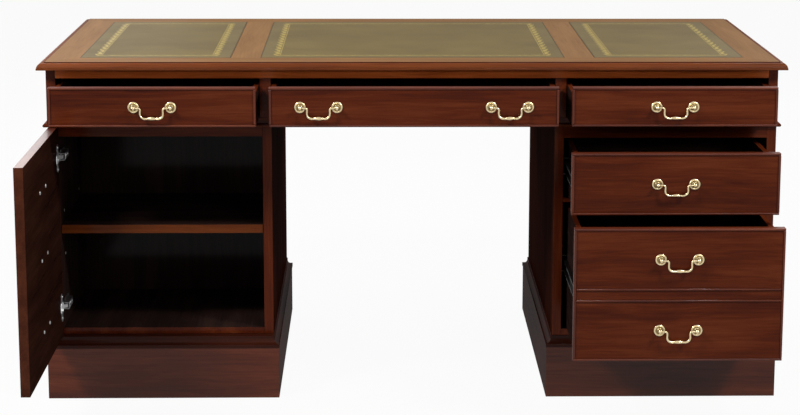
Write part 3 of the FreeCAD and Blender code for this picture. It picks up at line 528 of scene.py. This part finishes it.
BLACKED = metal("blacked_steel", (0.07, 0.068, 0.065), (0.02, 0.02, 0.02), 0.3, 90.0)

PLAIN_NODES = {"leather_insets": LEATHER, "drawer_runners": BLACKED}


# ---------------------------------------------------------------- pieces


def new_object(name, data, *materials):
    made = bpy.data.objects.new(name, data)
    bpy.context.scene.collection.objects.link(made)
    if not data.materials:
        for material in materials:
            data.materials.append(material)
    return made


def finished(mesh, name, *materials):
    """An object from a bmesh, which is freed."""
    data = bpy.data.meshes.new(name)
    mesh.to_mesh(data)
    mesh.free()
    return new_object(name, data, *materials)


def ride(piece, body, slot, *nodes):
    """Ride on a body, in the place of some CAD nodes. The slot argument is not used."""
    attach(piece, body)
    if nodes:
        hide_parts(*nodes)


# ---------------------------------------------------------------- wooden pieces


def solids(node):
    """The faces of each closed solid of a CAD node, as lists of corner places."""
    mesh = NODES[node].data
    places = [tuple(round(c, PLACE_DIGITS) for c in v.co) for v in mesh.vertices]
    open_edges = set()
    faces = []
    for polygon in mesh.polygons:
        corners = [places[i] for i in polygon.vertices]
        faces.append(corners)
        for pair in zip(corners, corners[1:] + corners[:1]):
            open_edges ^= {frozenset(pair)}
        if not open_edges:
            yield faces
            faces = []


def grain_order(node, size):
    """The axes along and across a board's grain: along its length, but up a pedestal's sides."""
    upright = node.startswith("pedestal") and size.z > UPRIGHT_HEIGHT * MM
    along = 2 if upright else max(range(3), key=lambda i: size[i])
    return along, *(i for i in range(3) if i != along)


def front_finish(node, number, face):
    """The finish of a face of a door or drawer: its slab or front is solid 0, then come its beads,
    and a drawer's box is in DRAWER_BOX. On a door those are beads too, with no finish for their tops."""
    door = node.endswith("_door")
    if number not in DRAWER_BOX and face.normal.z > SQUARE:
        return "door_top" if door else "front_top"
    if door and not number:
        inward = face.normal.dot(INNER_WAYS[node])
        if inward > SQUARE:
            # Painted shade on the door's inner face.
            return "door_back"
        # The door's edges are drawn darker than its face.
        return "door_edge" if inward > -SQUARE else "outside"
    if door or number and number not in DRAWER_BOX:
        return "bead"
    # Painted shade on the drawer box's lining.
    return "lining" if number in DRAWER_BOX and face.normal.z < SQUARE else "outside"


def finish_of(node, number, face):
    """The name in WOODS of a face's finish, from its piece, its solid's number and its place."""
    if node.endswith(("_door", "_drawer")):
        return front_finish(node, number, face)
    centre = face.calc_center_median() / MM
    plinth = node.startswith("plinth")
    pedestal = plinth or node.startswith("pedestal")
    # Painted shade on the kneehole's sides.
    if pedestal and abs(face.normal.x) > SIDEWAYS and abs(centre.x) < KNEEHOLE_HALF:
        return "plinth_shade" if plinth else "kneehole"
    # Painted shade on the plinths' caps.
    if plinth:
        return "plinth" if centre.z < CAP_FOOT else "plinth_shade"
    # Painted light on the front rail under the top.
    if node == "frieze_case" and centre.z > RAIL_FOOT and centre.y < -CASE_FACE:
        return "rail"
    # Painted shade on the walls of the bays and the frieze.
    for space in PAINTED_SHADE_SPACES:
        if all(low <= abs(centre[i]) <= high for i, (low, high) in enumerate(space)):
            return "lining"
    # Painted light on the shelves' front edges.
    return "rail" if node == "cupboard_shelves" else "outside"


def add_solid(mesh, faces, node, number):
    """Add one board to a mesh, with its rounded edges, its painted-shade lining and its grain marked."""
    grain = mesh.verts.layers.float_vector["grain"]
    tone_and_painted_light = mesh.verts.layers.float["tone_and_painted_light"]
    weight = mesh.edges.layers.float["bevel_weight_edge"]
    corners = {place: mesh.verts.new(place) for face in faces for place in face}
    made = [mesh.faces.new([corners[place] for place in face]) for face in faces]
    edges = list({edge for face in made for edge in face.edges})
    bmesh.ops.dissolve_limit(
        mesh, angle_limit=FLAT_ANGLE, verts=list(corners.values()), edges=edges
    )
    verts = [v for v in corners.values() if v.is_valid]
    low = Vector(min(v.co[i] for v in verts) for i in range(3))
    high = Vector(max(v.co[i] for v in verts) for i in range(3))
    size = high - low
    order = grain_order(node, size)
    steps = number + 1 + len(node) / GRAIN_NAME_STEP
    shift = Vector((GRAIN_SHIFT, GRAIN_SHIFT / 2, GRAIN_SHIFT / 3)) * steps
    bead = min(size) < BEAD_THICKNESS * MM
    rounding = BEAD_ROUND if bead else EDGE_ROUND
    by_number, by_name = TONE_STEPS
    shade = TONE_LOW + TONE_SPREAD * ((number * by_number + len(node) * by_name) % 1.0)
    # Painted light: the front rail under the top is made lighter.
    if node == "frieze_case" and low.z > (RAIL_FOOT - RAIL_SLACK) * MM and high.y < 0.0:
        shade *= RAIL_PAINTED_LIGHT
    for vert in verts:
        vert[grain] = Vector(vert.co[i] for i in order) + shift
        vert[tone_and_painted_light] = shade
    for face in {face for vert in verts for face in vert.link_faces}:
        face.smooth = True
        face.normal_update()
        face.material_index = FINISHES.index(finish_of(node, number, face))
    for edge in {edge for vert in verts for edge in vert.link_edges}:
        sharp = edge.calc_face_angle(0.0) > EDGE_ANGLE
        if sharp and edge.calc_length() > SHORT_EDGE * MM:
            edge[weight] = rounding / BEAD_ROUND
        edge.smooth = not sharp


def wooden(node):
    """A piece for a CAD node, with its boards' edges eased and its grain along each board."""
    mesh = bmesh.new()
    mesh.verts.layers.float_vector.new("grain")
    mesh.verts.layers.float.new("tone_and_painted_light")
    mesh.edges.layers.float.new("bevel_weight_edge")
    for number, faces in enumerate(solids(node)):
        add_solid(mesh, faces, node, number)
    woods = {**WOODS, "outside": TOP_WOOD} if node == "top_panel" else WOODS
    piece = finished(mesh, node + "_wood", *woods.values())
    eased = piece.modifiers.new("eased", "BEVEL")
    eased.width = BEAD_ROUND * MM
    eased.segments = BEVEL_SEGMENTS
    eased.limit_method = "WEIGHT"
    eased.harden_normals = True
    ride(piece, BODY_OF[node], SLOT_OF[node], node)


# ---------------------------------------------------------------- turned and flat metal parts


def facing(x, y, z, turn=0.0):
    """The place of a part that is drawn facing -Y, in millimetres, turned about Z in degrees."""
    return Matrix.Translation(Vector((x, y, z)) * MM) @ Matrix.Rotation(math.radians(turn), 4, "Z")


def half_turn(side):
    """The frame for the front user's side, and half a turn about Z for the rear one."""
    return facing(0, 0, 0, 0.0 if side == "front" else 180.0)


def metal_mesh():
    mesh = bmesh.new()
    mesh.verts.layers.float.new("patina")
    return mesh


def metal_piece(mesh, name, material, body, slot, *nodes):
    """A finished metal piece, with its faces turned outwards."""
    bmesh.ops.recalc_face_normals(mesh, faces=mesh.faces)
    ride(finished(mesh, name, material), body, slot, *nodes)


def turned(mesh, profile, place, segments):
    """Add a part turned from (radius, height, patina) rings in millimetres, outwards along -Y."""
    patina = mesh.verts.layers.float["patina"]
    rings = []
    for radius, height, old in profile:
        ring = []
        for i in range(segments if radius else 1):
            angle = 2 * math.pi * i / segments
            at = Vector((radius * math.cos(angle), -height, radius * math.sin(angle))) * MM
            vert = mesh.verts.new(place @ at)
            vert[patina] = old
            ring.append(vert)
        rings.append(ring)
    mesh.faces.new(rings[0])
    for inner, outer in zip(rings, rings[1:]):
        for i in range(segments):
            after = (i + 1) % segments
            corners = [inner[i], outer[i % len(outer)], outer[after % len(outer)], inner[after]]
            mesh.faces.new(list(dict.fromkeys(corners))).smooth = True


def extruded(mesh, outline, near, far, place):
    """Add a flat part: an outline of (x, z) in millimetres, between two distances along -Y."""
    back, front = (
        [mesh.verts.new(place @ (Vector((x, -out, z)) * MM)) for x, z in outline]
        for out in (near, far)
    )
    mesh.faces.new(back)
    mesh.faces.new(front[::-1])
    for i in range(len(outline)):
        after = (i + 1) % len(outline)
        mesh.faces.new([back[i], front[i], front[after], back[after]])


def flange_wing():
    """The outline of the upper one of a cup's two wings, from the cup's rim to its round end."""
    height, radius = FLANGE_END
    angles = [math.pi * i / FLANGE_STEPS for i in range(FLANGE_STEPS + 1)]
    return [*((radius * math.cos(a), height + radius * math.sin(a)) for a in angles), *FLANGE_ROOT]


def rectangle(x0, x1, z0, z1):
    return ((x0, z0), (x1, z0), (x1, z1), (x0, z1))


# ---------------------------------------------------------------- handles


def bail_mesh():
    """The bail as a smooth tapering rod through its half outline and the mirror of it."""
    curve = bpy.data.curves.new("bail", "CURVE")
    curve.dimensions = "3D"
    curve.bevel_depth = MM
    curve.bevel_resolution = BAIL_FACETS
    curve.resolution_u = BAIL_STEPS
    curve.use_fill_caps = True
    points = [*BAIL_HALF, *((-x, z, r) for x, z, r in BAIL_HALF[-2::-1])]
    spline = curve.splines.new("BEZIER")
    spline.bezier_points.add(len(points) - 1)
    for point, (x, z, radius) in zip(spline.bezier_points, points):
        point.co = (x * MM, 0.0, z * MM)
        point.handle_left_type = point.handle_right_type = "AUTO"
        point.radius = radius
    holder = bpy.data.objects.new("bail", curve)
    bpy.context.scene.collection.objects.link(holder)
    bpy.context.view_layer.update()
    data = bpy.data.meshes.new_from_object(holder)
    bpy.data.objects.remove(holder)
    for polygon in data.polygons:
        polygon.use_smooth = len(polygon.vertices) <= 4
    return data


def handle_matrix(joint):
    """From a handle drawn about its pivot and facing -Y to where its joint is."""
    axis = Vector(joint["axis"])
    turn = math.atan2(-axis.y, -axis.x)
    return Matrix.Translation(joint["pos_m"]) @ Matrix.Rotation(turn, 4, "Z")


def build_fittings(body, joints):
    """The roses of a front's handles, and the heads of their screws on its inner face."""
    roses = metal_mesh()
    screws = metal_mesh()
    thickness = DOOR_THICKNESS if body.endswith("door") else FRONT_THICKNESS
    for joint in joints:
        for side in (-1, 1):
            rose = handle_matrix(joint) @ facing(side * ROSE_SPACING / 2, PIVOT_OUT, 0)
            turned(roses, ROSE_PROFILE, rose, ROSE_TURNS)
            turned(screws, SCREW_PROFILE, rose @ facing(0, thickness, 0, 180), SCREW_TURNS)
    metal_piece(roses, body + "_roses_turned", BRASS, body, "brass", body + "_roses")
    metal_piece(screws, body + "_handle_screws", STEEL, body, "steel")


def build_handles():
    shared = bail_mesh()
    on_body = {}
    for joint in frame["joints"]:
        if joint["name"].endswith("bail_swing"):
            node = joint["child"]
            bail = new_object(node + "_rod", shared, BRASS)
            bail.matrix_world = handle_matrix(joint)
            ride(bail, node, "brass", node)
            on_body.setdefault(joint["parent"], []).append(joint)
    for body, joints in on_body.items():
        build_fittings(body, joints)


# ---------------------------------------------------------------- hinges, runners and shelf sockets


def build_cups(side):
    """Flanged cups let into the door's inner face."""
    mesh = metal_mesh()
    x, y, turn = CUP_PLACES[side]
    wing = flange_wing()
    for height in HINGE_HEIGHTS:
        place = facing(x, y, height, turn)
        turned(mesh, CUP_PROFILE, place, ROSE_TURNS)
        for end in (-1, 1):
            extruded(mesh, [(end * x, end * z) for x, z in wing], 0, FLANGE_THICKNESS, place)
            screw = place @ facing(0, -FLANGE_THICKNESS, end * FLANGE_SCREW)
            turned(mesh, SMALL_SCREW_PROFILE, screw, SCREW_TURNS)
    metal_piece(mesh, side + "_hinge_cups_pressed", STEEL, side + "_door", "steel", side + "_hinge_cups")


def build_arms():
    """Forked arms on plates on the cupboards' outer walls."""
    mesh = metal_mesh()
    for side in ("front", "rear"):
        for height in HINGE_HEIGHTS:
            place = half_turn(side) @ facing(*ARM_FOOT, height, 90)
            start, end, half, thick = ARM_BASE
            extruded(mesh, rectangle(start, end, -half, half), 0, thick, place)
            start, end, inner, outer = ARM_CHEEK
            extruded(mesh, rectangle(start, end, inner, outer), *ARM_OUT, place)
            extruded(mesh, rectangle(start, end, -outer, -inner), *ARM_OUT, place)
            start, end, low, high = ARM_WEB
            extruded(mesh, rectangle(start, end, -inner, inner), low, high, place)
            for along, out in ARM_SCREWS:
                turned(mesh, SMALL_SCREW_PROFILE, place @ facing(along, -out, 0), SCREW_TURNS)
    metal_piece(mesh, "hinge_arms_pressed", STEEL, "root", "steel", "hinge_arms")


def build_runners():
    """The moving members on the lower drawers' sides, which run in the cases' channels."""
    for side in ("front", "rear"):
        for drawer, height in RUNNER_HEIGHTS.items():
            body = f"{side}_{drawer}"
            low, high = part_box(body + "_drawer")
            face = (low.y if side == "front" else -high.y) / MM
            mesh = metal_mesh()
            for wall, mirror in zip(RUNNER_WALLS, (1, -1)):
                section = [(mirror * x, z) for x, z in RUNNER_SECTION]
                place = half_turn(side) @ facing(wall, face, height)
                near, far = RUNNER_ENDS
                extruded(mesh, section, -far, -near, place)
            metal_piece(mesh, body + "_runner_members", BLACKED, body, "steel")


def build_sockets():
    """Spare sockets for the shelf's pegs in the cupboards' walls."""
    mesh = metal_mesh()
    for side in ("front", "rear"):
        for x, turn in SOCKET_WALLS:
            for y in SOCKET_DEPTHS:
                for z in SOCKET_HEIGHTS:
                    turned(mesh, SOCKET_PROFILE, half_turn(side) @ facing(x, y, z, turn), SCREW_TURNS)
    metal_piece(mesh, "shelf_peg_sockets", STEEL, "root", "steel")


# ---------------------------------------------------------------- floor, lights and camera


def build_floor():
    """A floor that is nearly white to the camera, and keeps a faint shadow of the desk."""
    mesh = bmesh.new()
    bmesh.ops.create_grid(mesh, x_segments=2, y_segments=2, size=FLOOR_HALF)
    surface = {"roughness": FLOOR_ROUGHNESS, "base_color": FLOOR_COLOUR}
    g = Graph("floor", specular_ior_level=0.0, **surface)
    white = g.node("ShaderNodeEmission", {"Color": (1, 1, 1, 1), "Strength": 1.0}).outputs[0]
    rays = g.node("ShaderNodeLightPath").outputs
    seen = g.math("MAXIMUM", rays["Is Camera Ray"], rays["Is Glossy Ray"])
    seen = g.math("MAXIMUM", seen, rays["Is Transmission Ray"])
    share = g.math("MULTIPLY", seen, FLOOR_GLOW)
    out = g.tree.nodes["Material Output"]
    blend = g.node("ShaderNodeMixShader", {0: share, 1: g.shader.outputs[0], 2: white})
    g.feed(out.inputs["Surface"], blend.outputs[0])
    floor = finished(mesh, "floor", g.material)
    floor.location.z = FLOOR_DROP
    floor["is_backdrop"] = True


def build_world():
    """White to the camera and in reflections, and a faint even light for everything else."""
    world = bpy.data.worlds.new("studio")
    bpy.context.scene.world = world
    world.use_nodes = True
    tree = world.node_tree
    rays = tree.nodes.new("ShaderNodeLightPath").outputs
    seen = rays["Is Camera Ray"]
    for kind in ("Is Glossy Ray", "Is Transmission Ray"):
        more = tree.nodes.new("ShaderNodeMath")
        more.operation = "MAXIMUM"
        tree.links.new(seen, more.inputs[0])
        tree.links.new(rays[kind], more.inputs[1])
        seen = more.outputs[0]
    level = tree.nodes.new("ShaderNodeMapRange")
    level.inputs["To Min"].default_value = WORLD_LEVEL
    level.inputs["To Max"].default_value = 1.0
    tree.links.new(seen, level.inputs["Value"])
    shader = tree.nodes["Background"]
    shader.inputs["Color"].default_value = (1, 1, 1, 1)
    tree.links.new(level.outputs[0], shader.inputs["Strength"])


def softbox(name, place, target, size, watts):
    light = bpy.data.lights.new(name, "AREA")
    light.shape = "RECTANGLE"
    light.size, light.size_y = size
    light.energy = watts
    made = bpy.data.objects.new(name, light)
    bpy.context.scene.collection.objects.link(made)
    made.location = place
    made.rotation_euler = (Vector(target) - Vector(place)).to_track_quat("-Z", "Y").to_euler()
    made.visible_camera = False


def build_camera():
    data = bpy.data.cameras.new("camera")
    data.lens = CAMERA_LENS
    data.shift_x, data.shift_y = CAMERA_SHIFT
    data.clip_end = CAMERA_REACH
    camera = bpy.data.objects.new("camera", data)
    bpy.context.scene.collection.objects.link(camera)
    camera.location = CAMERA_PLACE
    pitch, yaw, roll = (math.radians(angle) for angle in CAMERA_TURN)
    turn = Matrix.Rotation(yaw, 4, "Z") @ Matrix.Rotation(math.pi / 2 - pitch, 4, "X")
    camera.rotation_euler = (turn @ Matrix.Rotation(roll, 4, "Z")).to_euler()
    bpy.context.scene.camera = camera


for name in NODES:
    if SLOT_OF[name] in ("mahogany", "drawer_wood"):
        wooden(name)
    elif SLOT_OF[name] != "brass":
        NODES[name].data.materials.clear()
        NODES[name].data.materials.append(PLAIN_NODES.get(name, STEEL))
build_handles()
for user_side in ("front", "rear"):
    build_cups(user_side)
build_arms()
build_runners()
build_sockets()
build_floor()
build_world()
for box in SOFTBOXES:
    softbox(*box)
build_camera()

bpy.context.scene.view_settings.view_transform = "Standard"
[[list(corner) for corner in pair] for pair in (cad_box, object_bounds())]
